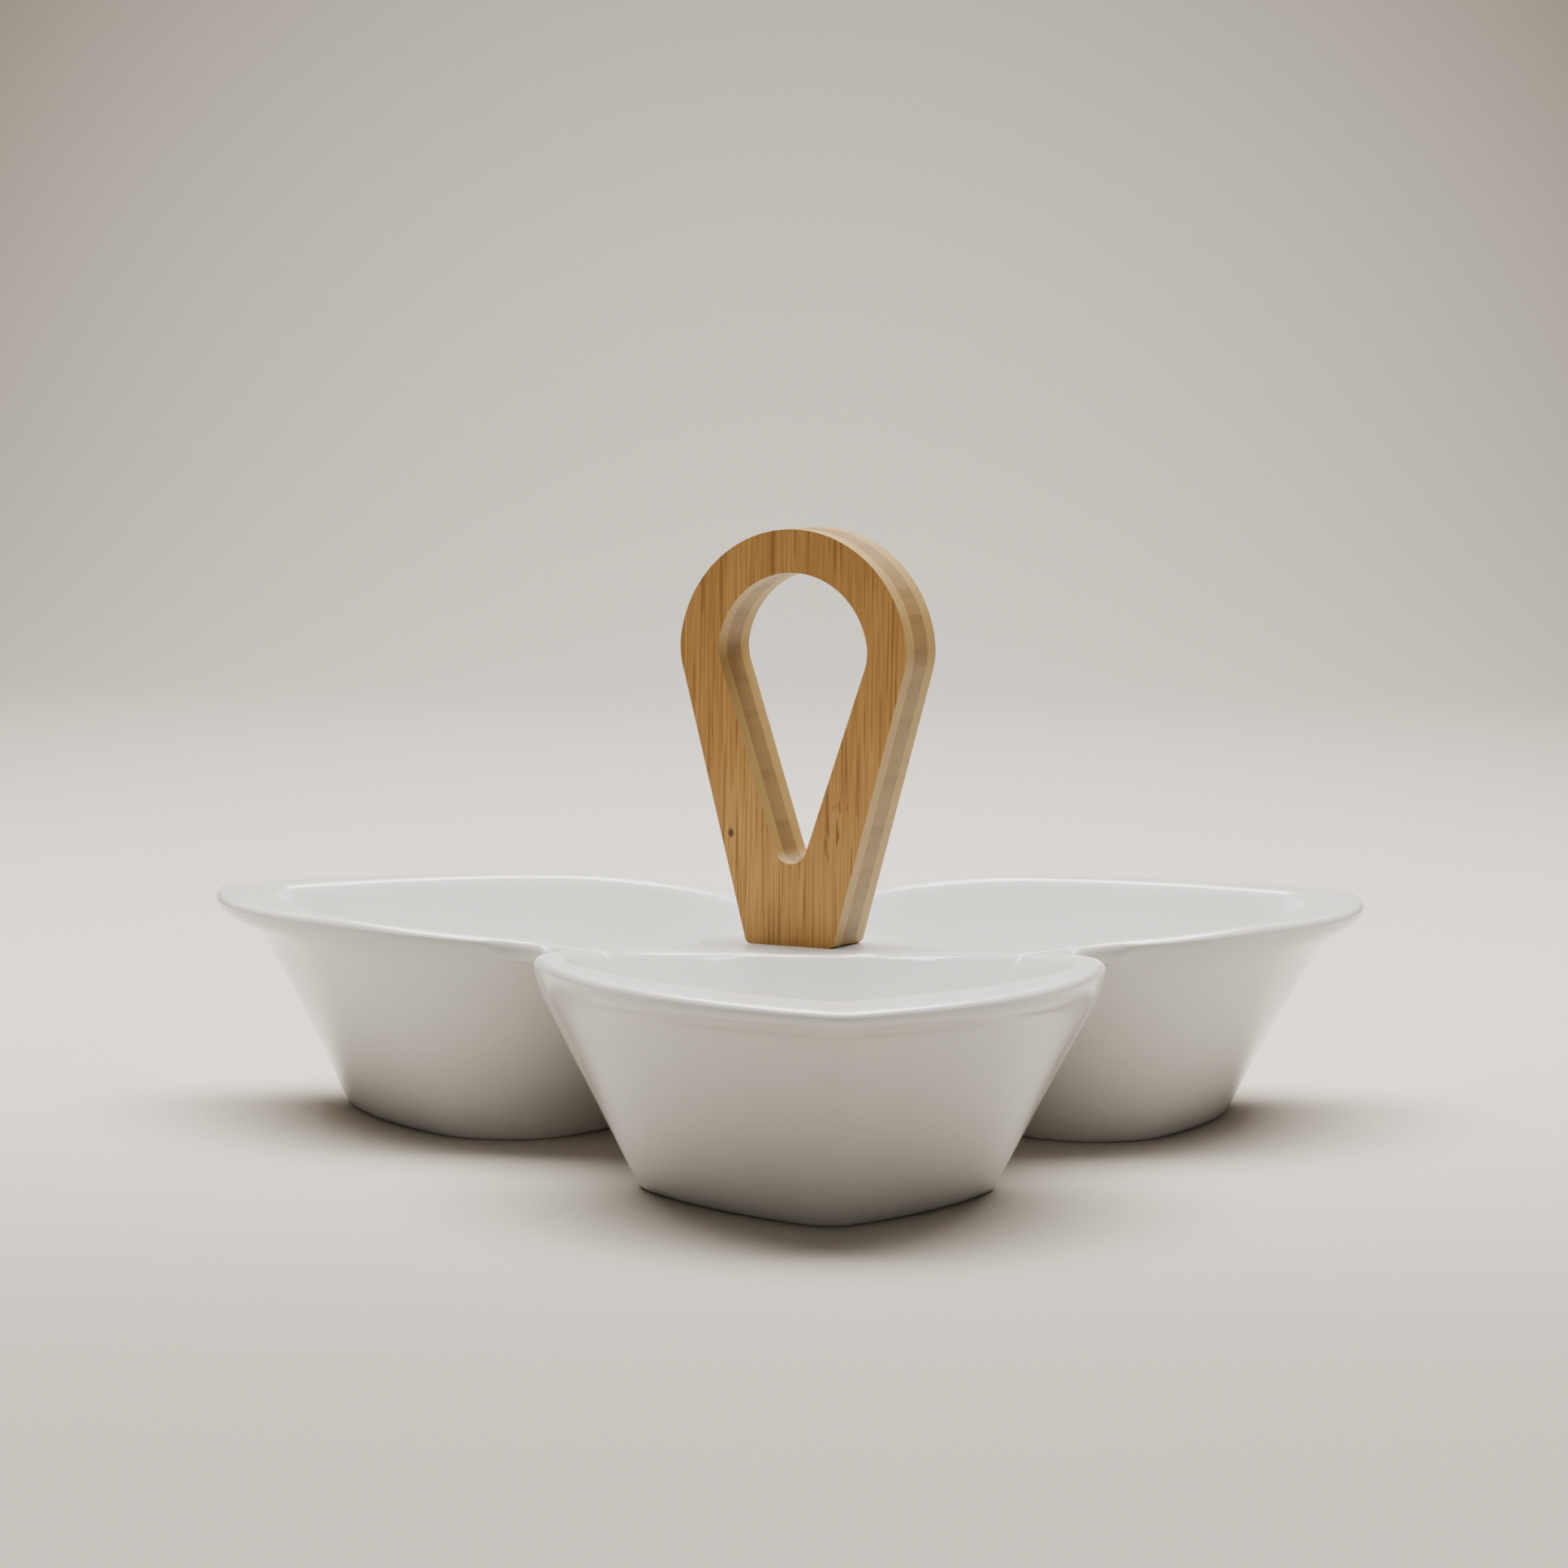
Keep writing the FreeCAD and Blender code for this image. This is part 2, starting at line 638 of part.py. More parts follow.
def main():
    pieces = [
        make_dish(),
        make_ply("handle_front_ply", "facePly + coreHalf", "facePly"),
        make_ply("handle_core_ply", "coreHalf", "coreHalf + coreHalf"),
        make_ply("handle_rear_ply", "- coreHalf", "facePly"),
        make_insert(),
        make_screw(),
        make_ring("screw_washer", "washerRadius", UNDERSIDE + " - padThick", "washerThick"),
        make_ring("cushion_washer", "padRadius", UNDERSIDE, "padThick"),
    ]
    doc.recompute()
    for item in doc.Objects:
        if "Invalid" in item.State or "Error" in item.State:
            raise RuntimeError(f"{item.Name}: {item.State}")
    os.makedirs("parts", exist_ok=True)
    for piece in pieces:
        if piece.Shape.isNull() or not piece.Shape.isValid():
            raise RuntimeError(f"{piece.Label}: no valid shape")
        piece.Shape.exportStep(f"parts/{piece.Label}.step")
        solids = len(piece.Shape.Solids)
        print(piece.Label, solids, "solid,", round(piece.Shape.Volume, 1), "mm3", piece.Shape.BoundBox)


main()
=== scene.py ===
import math

import bpy
import numpy as np
from mathutils import Euler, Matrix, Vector


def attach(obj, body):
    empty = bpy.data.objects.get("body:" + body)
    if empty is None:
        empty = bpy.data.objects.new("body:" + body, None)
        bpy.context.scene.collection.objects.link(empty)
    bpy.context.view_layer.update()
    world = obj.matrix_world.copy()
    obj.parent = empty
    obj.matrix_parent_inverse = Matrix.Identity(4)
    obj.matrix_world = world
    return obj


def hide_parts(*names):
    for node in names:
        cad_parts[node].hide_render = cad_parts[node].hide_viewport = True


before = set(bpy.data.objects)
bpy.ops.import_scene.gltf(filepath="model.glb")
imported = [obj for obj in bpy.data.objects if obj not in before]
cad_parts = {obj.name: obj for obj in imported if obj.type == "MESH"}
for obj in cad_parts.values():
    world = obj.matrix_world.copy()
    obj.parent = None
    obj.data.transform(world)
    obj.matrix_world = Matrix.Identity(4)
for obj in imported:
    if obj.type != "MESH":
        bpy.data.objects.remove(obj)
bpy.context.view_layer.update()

mm = 0.001
body = "root"


# mesh helpers

def meshPiece(name, points, faces, material, smooth=True):
    mesh = bpy.data.meshes.new(name)
    mesh.from_pydata([tuple(p) for p in points], [], faces)
    mesh.validate()
    piece = bpy.data.objects.new(name, mesh)
    bpy.context.scene.collection.objects.link(piece)
    mesh.materials.append(material)
    for polygon in mesh.polygons:
        polygon.use_smooth = smooth
    return piece


def ramp(x, k):
    # 0 well below zero, x well above it, and a soft bend within k of it
    t = np.clip((x + k) / (2 * k), 0, 1)
    return np.where(x > k, x, 2 * k * (t ** 3 - t ** 4 / 2))


def softMax(a, b, k):
    return a + ramp(b - a, k)


def softMin(a, b, k):
    return a - ramp(a - b, k)


# ceramic dish

dish = {
    "rim": {
        "reach": 138.6, "tipRound": 4.5, "sweep": 92, "widestAt": 61.5,
        "halfWidth": 54.5, "shoulder": 51.5, "inner": 8.5,
    },
    "foot": {
        "reach": 106, "tipRound": 6.5, "sweep": 105, "widestAt": 59,
        "halfWidth": 34, "shoulder": 17, "inner": 40,
    },
    "lipTip": 11.5,
    "lipSide": 1.3,
    "lipThick": 2.4,
    "lipDepth": 3.4,
    "wall": 4.6,
    "ribHalf": 4.5,
    "rimHeight": 43.6,
    "crestRise": 1.5,
    "crestAt": 92,
    "platformDrop": 3.5,
    "platformRadius": 21.8,
    "platformThick": 6.5,
    "platformSlope": 2.05,
    "ribThick": 5.0,
    "webSlope": 1.5,
    "notchRound": 14.1,
    "floorThick": 5.0,
    "floorInset": 2.5,
    "holeRadius": 3.25,
    "noseWidth": 1.3,
    "floorBend": 13.0,
    "landBend": 2.4,
    "platformBend": 4.0,
    "footBend": 1.6,
    "lipBend": 2.0,
    "turnBend": 0.9,
    "webBend": 1.5,
    "webBlend": 1.5,
    "discBend": 2.0,
    "discBlend": 1.0,
    "webSpread": 6.8,  # a rib's underside widens by this much
    "webRun": 66,  # from the middle to here
    "flareGap": 0.3,
    "lipShare": 0.6,
    "lipLeast": 0.2,
    "bowls": 3,
    "tipAngle": 0.16,
    "tipRays": 26,
    "otherRays": 132,
    "turnWeight": 9.0,
    "denseSteps": 500,
    "denseBias": 1.5,
}


def leafArcs(leaf, grow=0.0, tipGrow=None):
    # centres and radii of a leaf's four arcs, each tangent to the next; grow moves the outline out
    tipGrow = grow if tipGrow is None else tipGrow
    tipRound, sweep = leaf["tipRound"], leaf["sweep"]
    shoulder = leaf["shoulder"] + grow
    tip = np.array([leaf["reach"] + tipGrow - tipRound, 0.0])
    corner = np.array([leaf["widestAt"], leaf["halfWidth"] + grow - shoulder])
    inner = leaf["inner"] - grow
    step = corner - tip
    span = math.hypot(*step)
    along = ((sweep - tipRound) ** 2 - (sweep - shoulder) ** 2 + span ** 2) / (2 * span)
    across = math.sqrt((sweep - tipRound) ** 2 - along ** 2)
    unit = step / span
    side = tip + unit * along + np.array([-unit[1], unit[0]]) * across
    run = corner[0] - inner
    back = (run ** 2 + corner[1] ** 2 - shoulder ** 2) / (2 * (run - shoulder))
    return [(tip, tipRound), (side, sweep), (corner, shoulder), (np.array([inner + back, 0.0]), back)]


def leafLine(arcs, steps=400):
    # points along the upper half of a leaf, from its tip round to its inner end
    turns = [0.0]
    for (centre, radius), (following, nextRadius) in zip(arcs, arcs[1:]):
        way = (following - centre) * (1 if radius > nextRadius else -1)
        turns.append(math.atan2(way[1], way[0]))
    turns.append(math.pi)
    line = []
    for (centre, radius), first, last in zip(arcs, turns, turns[1:]):
        angle = np.linspace(first, last, steps)
        line.append(np.stack([centre[0] + radius * np.cos(angle), centre[1] + radius * np.sin(angle)], 1))
    return np.concatenate(line)


def raysTo(line, start, angles):
    # how far each ray from the bowl's middle goes before it meets the outline
    away = line - np.array([start, 0.0])
    return np.interp(angles, np.unwrap(np.arctan2(away[:, 1], away[:, 0])), np.hypot(away[:, 0], away[:, 1]))


def turnedTop(r):
    platform = dish["rimHeight"] - dish["platformDrop"]
    crest = dish["rimHeight"] + dish["crestRise"]
    rise = (crest - platform) / (dish["crestAt"] - dish["platformRadius"])
    fall = dish["crestRise"] / (dish["rim"]["reach"] + dish["lipTip"] - dish["crestAt"])
    up = softMax(np.full_like(r, platform), platform + (r - dish["platformRadius"]) * rise, dish["turnBend"])
    return softMin(up, crest - (r - dish["crestAt"]) * fall, dish["turnBend"])


def bowlRays(start):
    # one bowl's rays, from its tip round to its inner end, closest together at the tip
    tipAngle = dish["tipAngle"]
    nearTip = np.linspace(0, tipAngle, dish["tipRays"])[:-1]
    angles = np.concatenate([nearTip, np.linspace(tipAngle, math.pi, dish["otherRays"])])
    rimArcs = leafArcs(dish["rim"])
    rim = leafLine(rimArcs)
    backCentre, backRadius = rimArcs[3]
    third = math.pi / dish["bowls"]
    notchRound = dish["notchRound"]
    notchAt = backCentre[0] * math.cos(third) + math.sqrt(
        (backRadius + notchRound) ** 2 - (backCentre[0] * math.sin(third)) ** 2
    )
    notch = notchAt * np.array([math.cos(third), math.sin(third)])
    toNotch = notch - backCentre
    join = backCentre + toNotch * backRadius / math.hypot(*toNotch)
    notchEnd = (notchAt - notchRound) * np.array([math.cos(third), math.sin(third)])
    joinAngle = math.atan2(join[1], join[0] - start)
    endAngle = math.atan2(notchEnd[1], notchEnd[0] - start)
    hole = dish["holeRadius"]
    holePoint = hole * np.array([math.cos(third), math.sin(third)])
    holeAngle = math.atan2(holePoint[1], holePoint[0] - start)
    for special in (joinAngle, endAngle, holeAngle):
        angles[np.argmin(np.abs(angles - special))] = special
    direction = np.stack([np.cos(angles), np.sin(angles)], 1)
    toCentre = notch - np.array([start, 0.0])
    b = direction @ toCentre
    notchReach = b - np.sqrt(np.maximum(b ** 2 - toCentre @ toCentre + notchRound ** 2, 0))
    lineReach = start * math.sin(third) / np.sin(np.maximum(angles - third, 0.05))
    inward = -start * direction[:, 0]
    holeReach = inward - np.sqrt(np.maximum(inward ** 2 - start ** 2 + hole ** 2, 0))
    end = raysTo(rim, start, angles)
    end = np.where(angles >= joinAngle - 1e-9, notchReach, end)
    end = np.where(angles > endAngle + 1e-9, lineReach, end)
    end = np.where(angles >= holeAngle - 1e-9, holeReach, end)
    kinds = np.where(angles <= endAngle + 1e-9, "edge", np.where(angles < holeAngle - 1e-9, "seam", "hole"))
    slope = np.gradient(end, angles)
    lean = end / np.hypot(end, slope)
    return angles, end, kinds, lean, notch, joinAngle


def bowlHeights(start, angles, s, end, lean, notch, joinAngle):
    # heights of the dish's top and underside at distance s along each ray
    angle = angles[:, None]
    x = start + s * np.cos(angle)
    y = s * np.sin(angle)
    r = np.hypot(x, y)
    high = turnedTop(r)
    wall, side, tip = dish["wall"], dish["lipSide"], dish["lipTip"]
    mouthLeaf = dict(dish["rim"], inner=dish["rim"]["inner"] + dish["ribHalf"] - side - wall)
    mouth = leafArcs(mouthLeaf, -side - wall, -tip - wall)
    floor = leafArcs(dish["foot"], -dish["floorInset"])
    wallTop = leafArcs(dish["rim"], -side, -tip)
    outlines = {
        "mouth": mouth,
        "floor": floor,
        "wallTop": wallTop,
        "foot": leafArcs(dish["foot"]),
        "rim": leafArcs(dish["rim"]),
    }
    reach = {name: raysTo(leafLine(arcs), start, angles)[:, None] for name, arcs in outlines.items()}
    floorZ, rimZ = dish["floorThick"], dish["rimHeight"]
    inside = floorZ + (s - reach["floor"]) / (reach["mouth"] - reach["floor"]) * (rimZ - floorZ)
    hollow = softMax(np.full_like(s, floorZ), inside, dish["floorBend"])
    platform = rimZ - dish["platformDrop"]
    cone = platform - (r - dish["platformRadius"]) * dish["platformSlope"]
    hollow = softMax(hollow, cone, dish["platformBend"])
    top = softMin(hollow, high, dish["landBend"])
    wallZ = rimZ - dish["lipThick"] - dish["lipDepth"]
    steep = wallZ / (reach["wallTop"] - reach["foot"])
    flare = dish["lipDepth"] / np.maximum(reach["rim"] - reach["wallTop"], dish["flareGap"])
    lipRoom = reach["rim"] - reach["wallTop"]
    bend = np.minimum(dish["lipBend"], dish["lipShare"] * lipRoom + dish["lipLeast"])
    outside = steep * (s - reach["foot"]) + (flare - steep) * ramp(s - reach["wallTop"], bend)
    third = math.pi / dish["bowls"]
    along = x * math.cos(third) + y * math.sin(third)
    across = np.abs(x * math.sin(third) - y * math.cos(third))
    webHalf = dish["ribHalf"] + np.clip(along, 0, dish["webRun"]) / dish["webRun"] * dish["webSpread"]
    web = rimZ - dish["ribThick"] + ramp(across - webHalf, dish["webBend"]) * dish["webSlope"]
    beyond = ramp(r - dish["platformRadius"], dish["discBend"])
    disc = platform - dish["platformThick"] + beyond * dish["webSlope"]
    under = softMin(softMin(outside, web, dish["webBlend"]), disc, dish["discBlend"])
    under = softMax(np.zeros_like(s), under, dish["footBend"])
    toNotch = np.hypot(x - notch[0], y - notch[1]) - dish["notchRound"]
    edge = np.where(angle < joinAngle, (end[:, None] - s) * lean[:, None], toNotch)
    ease = np.sqrt(np.clip(1 - (1 - np.clip(edge / dish["noseWidth"], 0, 1)) ** 2, 0, 1))
    middle = (top + under) / 2
    return x, y, middle + (top - middle) * ease, middle + (under - middle) * ease


def spacedAlong(s, z, count):
    # count places along each ray, closer together where the height bends
    ds, dz = np.diff(s, axis=1), np.diff(z, axis=1)
    turn = np.abs(np.diff(np.arctan2(dz, ds), axis=1))
    turn = np.pad(turn, ((0, 0), (1, 0)))
    weight = np.hypot(ds, dz) + dish["turnWeight"] * turn
    total = np.concatenate([np.zeros((len(s), 1)), np.cumsum(weight, axis=1)], axis=1)
    total /= total[:, -1:]
    wanted = np.linspace(0, 1, count)
    return np.stack([np.interp(wanted, row, place) for row, place in zip(total, s)])


def bowlSector(material, ringsTop=46, ringsUnder=34):
    # a third of the dish: its top from a bowl's middle out, then its underside
    start = dish["rim"]["widestAt"]
    angles, end, kinds, lean, notch, joinAngle = bowlRays(start)
    even = np.linspace(0, 1, dish["denseSteps"])
    dense = end[:, None] * (1 - (1 - even) ** dish["denseBias"])[None, :]
    _, _, topZ, underZ = bowlHeights(start, angles, dense, end, lean, notch, joinAngle)
    sheets = []
    for z, count in ((topZ, ringsTop), (underZ, ringsUnder)):
        s = spacedAlong(dense, z, count)
        s[:, -1] = end
        sheets.append((s, bowlHeights(start, angles, s, end, lean, notch, joinAngle)))
    points, faces = [], []
    half = len(angles)
    columns = list(range(half)) + [-i for i in range(half - 2, 0, -1)]
    for sheet, (s, (x, y, topPart, underPart)) in enumerate(sheets):
        z = topPart if sheet == 0 else underPart
        for column in columns:
            i = abs(column)
            flip = -1 if column < 0 else 1
            points.append(np.stack([x[i], flip * y[i], z[i]], 1))
    rings = (ringsTop, ringsUnder)
    offsets = np.cumsum([0] + [len(p) for p in points])
    width = len(columns)
    for sheet in range(2):
        for c in range(width):
            a = offsets[sheet * width + c]
            b = offsets[sheet * width + (c + 1) % width]
            for k in range(rings[sheet] - 1):
                quad = (a + k, a + k + 1, b + k + 1, b + k)
                faces.append(quad if sheet == 0 else quad[::-1])
    for c in range(width):  # the walls of the screw hole
        i, j = abs(columns[c]), abs(columns[(c + 1) % width])
        if kinds[i] == "hole" and kinds[j] == "hole":
            a, b = offsets[c] + ringsTop - 1, offsets[(c + 1) % width] + ringsTop - 1
            d, e = offsets[width + c] + ringsUnder - 1, offsets[width + (c + 1) % width] + ringsUnder - 1
            faces.append((a, d, e, b))
    flat = np.concatenate(points) * mm
    return meshPiece("dishSector", flat, faces, material)


def roundTheAxis(count):
    # a node tree that turns one sector into the whole dish and welds the seams
    tree = bpy.data.node_groups.new("roundTheAxis", "GeometryNodeTree")
    face = tree.interface
    face.new_socket("Geometry", in_out="INPUT", socket_type="NodeSocketGeometry")
    countSocket = face.new_socket("Bowls", in_out="INPUT", socket_type="NodeSocketInt")
    countSocket.default_value = count
    turnSocket = face.new_socket("First Turn", in_out="INPUT", socket_type="NodeSocketFloat")
    turnSocket.default_value = math.pi
    weldSocket = face.new_socket("Weld", in_out="INPUT", socket_type="NodeSocketFloat")
    weldSocket.default_value = 0.00002
    materialSocket = face.new_socket("Finish", in_out="INPUT", socket_type="NodeSocketMaterial")
    face.new_socket("Geometry", in_out="OUTPUT", socket_type="NodeSocketGeometry")
    nodes, links = tree.nodes, tree.links
    given = nodes.new("NodeGroupInput")
    line = nodes.new("GeometryNodeMeshLine")
    line.inputs["Offset"].default_value = (0, 0, 0)
    links.new(given.outputs["Bowls"], line.inputs["Count"])
    index = nodes.new("GeometryNodeInputIndex")
    step = nodes.new("ShaderNodeMath")
    step.operation = "DIVIDE"
    step.inputs[0].default_value = 2 * math.pi
    links.new(given.outputs["Bowls"], step.inputs[1])
    turn = nodes.new("ShaderNodeMath")
    turn.operation = "MULTIPLY_ADD"
    links.new(index.outputs[0], turn.inputs[0])
    links.new(step.outputs[0], turn.inputs[1])
    links.new(given.outputs["First Turn"], turn.inputs[2])
    spin = nodes.new("ShaderNodeCombineXYZ")
    links.new(turn.outputs[0], spin.inputs["Z"])
    place = nodes.new("GeometryNodeInstanceOnPoints")
    links.new(line.outputs["Mesh"], place.inputs["Points"])
    links.new(given.outputs["Geometry"], place.inputs["Instance"])
    links.new(spin.outputs[0], place.inputs["Rotation"])
    real = nodes.new("GeometryNodeRealizeInstances")
    links.new(place.outputs["Instances"], real.inputs["Geometry"])
    weld = nodes.new("GeometryNodeMergeByDistance")
    links.new(real.outputs["Geometry"], weld.inputs["Geometry"])
    links.new(given.outputs["Weld"], weld.inputs["Distance"])
    finish = nodes.new("GeometryNodeSetMaterial")
    links.new(weld.outputs["Geometry"], finish.inputs["Geometry"])
    links.new(given.outputs["Finish"], finish.inputs["Material"])
    out = nodes.new("NodeGroupOutput")
    links.new(finish.outputs["Geometry"], out.inputs["Geometry"])
    return tree, {item.name: item.identifier for item in face.items_tree if item.in_out == "INPUT"}


def baked(piece, name):
    # the evaluated object as a plain mesh, with nothing left live
    mesh = bpy.data.meshes.new_from_object(piece.evaluated_get(bpy.context.evaluated_depsgraph_get()))
    mesh.name = name
    result = bpy.data.objects.new(name, mesh)
    bpy.context.scene.collection.objects.link(result)
    bpy.data.objects.remove(piece)
    return result


def makeDish(material):
    sector = bowlSector(material)
    tree, sockets = roundTheAxis(dish["bowls"])
    modifier = sector.modifiers.new("roundTheAxis", "NODES")
    modifier.node_group = tree
    modifier[sockets["Bowls"]] = dish["bowls"]
    modifier[sockets["Finish"]] = material
    piece = baked(sector, "dishShell")
    for polygon in piece.data.polygons:
        polygon.use_smooth = True
    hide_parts("dish")
    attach(piece, body)
    print("dish made:", len(piece.data.polygons), "faces")
    return piece


# materials

glazeLook = {
    "colour": (0.82, 0.812, 0.785, 1),
    "shade": (0.765, 0.755, 0.725, 1),
    "ior": 1.52,
    "coat": 0.25,
    "coatRoughness": 0.05,
    "roughness": (0.09, 0.17),
    "mottleScale": 900.0,
    "ripple": 0.035,
}
bambooLook = {
    "pale": (0.50, 0.275, 0.075, 1),
    "tan": (0.335, 0.160, 0.034, 1),
    "brown": (0.15, 0.058, 0.012, 1),
    "edgePale": (0.385, 0.248, 0.078, 1),
    "edgeTan": (0.22, 0.12, 0.032, 1),
    "corePale": (0.26, 0.16, 0.058, 1),
    "coreTan": (0.155, 0.085, 0.026, 1),
    "streakScale": 2300.0,
    "bandScale": 230.0,
    "stretch": 0.022,
    "fleckAt": (0.0105, -0.0066, 0.0655),
    "fleckSize": (0.0062, 0.02, 0.0115),
    "knotAt": (-0.0134, -0.0066, 0.0622),
    "knotSize": (0.0009, 0.004, 0.0013),
    "stripHeight": 0.0017,
    "knot": (0.05, 0.02, 0.008, 1),
    "bandShare": 0.45,
    "lineShare": 0.55,
    "fleckShare": 0.85,
    "knotShare": 0.9,
    "fleckStretch": 0.13,
    "fleckScale": 1900.0,
    "speckleShare": 0.45,
    "coreStripShare": 0.45,
    "edgeStripShare": 0.12,
    "speckleScale": 5200.0,
    "bump": 0.25,
    "bumpDepth": 0.00012,
    "gloss": 0.35,
}


fasteningLook = {
    "steel": {
        "colour": (0.60, 0.60, 0.61, 1), "shade": (0.48, 0.48, 0.49, 1),
        "metal": 1.0, "roughness": (0.22, 0.4), "scale": 2500.0,
    },
    "brass": {
        "colour": (0.78, 0.57, 0.25, 1), "shade": (0.60, 0.41, 0.16, 1),
        "metal": 1.0, "roughness": (0.2, 0.38), "scale": 2500.0,
    },
    "rubber": {
        "colour": (0.10, 0.10, 0.10, 1), "shade": (0.06, 0.06, 0.06, 1),
        "metal": 0.0, "roughness": (0.6, 0.8), "scale": 1800.0,
    },
}


def newMaterial(name):
    material = bpy.data.materials.new(name)
    material.use_nodes = True
    shader = material.node_tree.nodes["Principled BSDF"]
    return material, material.node_tree.nodes, material.node_tree.links, shader


def newGroup(name, inputs, outputs):
    # a shader group with named float or vector inputs and float outputs
    tree = bpy.data.node_groups.new(name, "ShaderNodeTree")
    for label, kind, value in inputs:
        socket = tree.interface.new_socket(label, in_out="INPUT", socket_type=kind)
        if value is not None:
            socket.default_value = value
    for label in outputs:
        tree.interface.new_socket(label, in_out="OUTPUT", socket_type="NodeSocketFloat")
    return tree, tree.nodes.new("NodeGroupInput"), tree.nodes.new("NodeGroupOutput")


def noiseOf(nodes, links, vector, scale, detail=3.0, rough=0.55):
    noise = nodes.new("ShaderNodeTexNoise")
    noise.inputs["Detail"].default_value = detail
    noise.inputs["Roughness"].default_value = rough
    links.new(vector, noise.inputs["Vector"])
    if isinstance(scale, float):
        noise.inputs["Scale"].default_value = scale
    else:
        links.new(scale, noise.inputs["Scale"])
    return noise.outputs["Fac"]


def mapped(nodes, links, value, low, high, toLow=0.0, toHigh=1.0):
    change = nodes.new("ShaderNodeMapRange")
    change.interpolation_type = "SMOOTHSTEP"
    for label, number in (("From Min", low), ("From Max", high), ("To Min", toLow), ("To Max", toHigh)):
        change.inputs[label].default_value = number
    links.new(value, change.inputs["Value"])
    return change.outputs["Result"]


def mathOf(nodes, links, operation, first, second=0.5, third=None):
    step = nodes.new("ShaderNodeMath")
    step.operation = operation
    for slot, value in enumerate((first, second, third)):
        if value is None:
            continue
        if isinstance(value, (int, float)):
            step.inputs[slot].default_value = value
        else:
            links.new(value, step.inputs[slot])
    return step.outputs[0]


def mixOf(nodes, links, factor, first, second):
    mix = nodes.new("ShaderNodeMix")
    mix.data_type = "RGBA"
    for label, value in ((6, first), (7, second)):
        if isinstance(value, tuple):
            mix.inputs[label].default_value = value
        else:
            links.new(value, mix.inputs[label])
    links.new(factor, mix.inputs[0])
    return mix.outputs[2]


def bumpOf(nodes, links, height, strength, distance=0.0002):
    bump = nodes.new("ShaderNodeBump")
    bump.inputs["Strength"].default_value = strength
    bump.inputs["Distance"].default_value = distance
    links.new(height, bump.inputs["Height"])
    return bump.outputs["Normal"]


def makeMottleGroup():
    # a soft cloud and a fine grain, for glaze, metal and rubber
    tree, given, out = newGroup(
        "mottle",
        [("Vector", "NodeSocketVector", None), ("Scale", "NodeSocketFloat", 500.0)],
        ["Cloud", "Grain"],
    )
    nodes, links = tree.nodes, tree.links
    vector, scale = given.outputs["Vector"], given.outputs["Scale"]
    fine = mathOf(nodes, links, "MULTIPLY", scale, 4.0)
    coarse = mathOf(nodes, links, "MULTIPLY", scale, 0.12)
    links.new(noiseOf(nodes, links, vector, coarse), out.inputs["Cloud"])
    links.new(noiseOf(nodes, links, vector, fine, 2.0), out.inputs["Grain"])
    return tree


def makeGrainGroup():
    # fibres that run up the board: fine streaks, broad bands and thin dark lines
    tree, given, out = newGroup(
        "bambooGrain",
        [
            ("Vector", "NodeSocketVector", None),
            ("Stretch", "NodeSocketFloat", bambooLook["stretch"]),
            ("Streaks", "NodeSocketFloat", bambooLook["streakScale"]),
            ("Bands", "NodeSocketFloat", bambooLook["bandScale"]),
        ],
        ["Streak", "Band", "Line", "Speckle"],
    )
    nodes, links = tree.nodes, tree.links
    split = nodes.new("ShaderNodeSeparateXYZ")
    links.new(given.outputs["Vector"], split.inputs[0])
    join = nodes.new("ShaderNodeCombineXYZ")
    links.new(split.outputs["X"], join.inputs["X"])
    links.new(split.outputs["Y"], join.inputs["Y"])
    squeezed = mathOf(nodes, links, "MULTIPLY", split.outputs["Z"], given.outputs["Stretch"])
    links.new(squeezed, join.inputs["Z"])
    drawn = join.outputs[0]
    streak = noiseOf(nodes, links, drawn, given.outputs["Streaks"], 4.0, 0.62)
    links.new(mapped(nodes, links, streak, 0.30, 0.70), out.inputs["Streak"])
    band = noiseOf(nodes, links, drawn, given.outputs["Bands"], 2.0)
    links.new(mapped(nodes, links, band, 0.35, 0.65), out.inputs["Band"])
    lineScale = mathOf(nodes, links, "MULTIPLY", given.outputs["Streaks"], 0.75)
    line = noiseOf(nodes, links, drawn, lineScale, 1.0)
    links.new(mapped(nodes, links, line, 0.58, 0.66), out.inputs["Line"])
    speckle = noiseOf(nodes, links, given.outputs["Vector"], bambooLook["speckleScale"], 2.0)
    links.new(speckle, out.inputs["Speckle"])
    return tree


def objectCoords(nodes):
    return nodes.new("ShaderNodeTexCoord")


def placeGroup(nodes, links, tree, vector, values=None):
    group = nodes.new("ShaderNodeGroup")
    group.node_tree = tree
    links.new(vector, group.inputs["Vector"])
    for label, number in (values or {}).items():
        group.inputs[label].default_value = number
    return group.outputs


def patchOf(nodes, links, vector, middle, size):
    # 1 inside an ellipsoid at middle, fading to 0 outside it
    move = nodes.new("ShaderNodeMapping")
    move.vector_type = "TEXTURE"
    move.inputs["Location"].default_value = middle
    move.inputs["Scale"].default_value = size
    links.new(vector, move.inputs["Vector"])
    length = nodes.new("ShaderNodeVectorMath")
    length.operation = "LENGTH"
    links.new(move.outputs[0], length.inputs[0])
    return mapped(nodes, links, length.outputs["Value"], 1.0, 0.35)


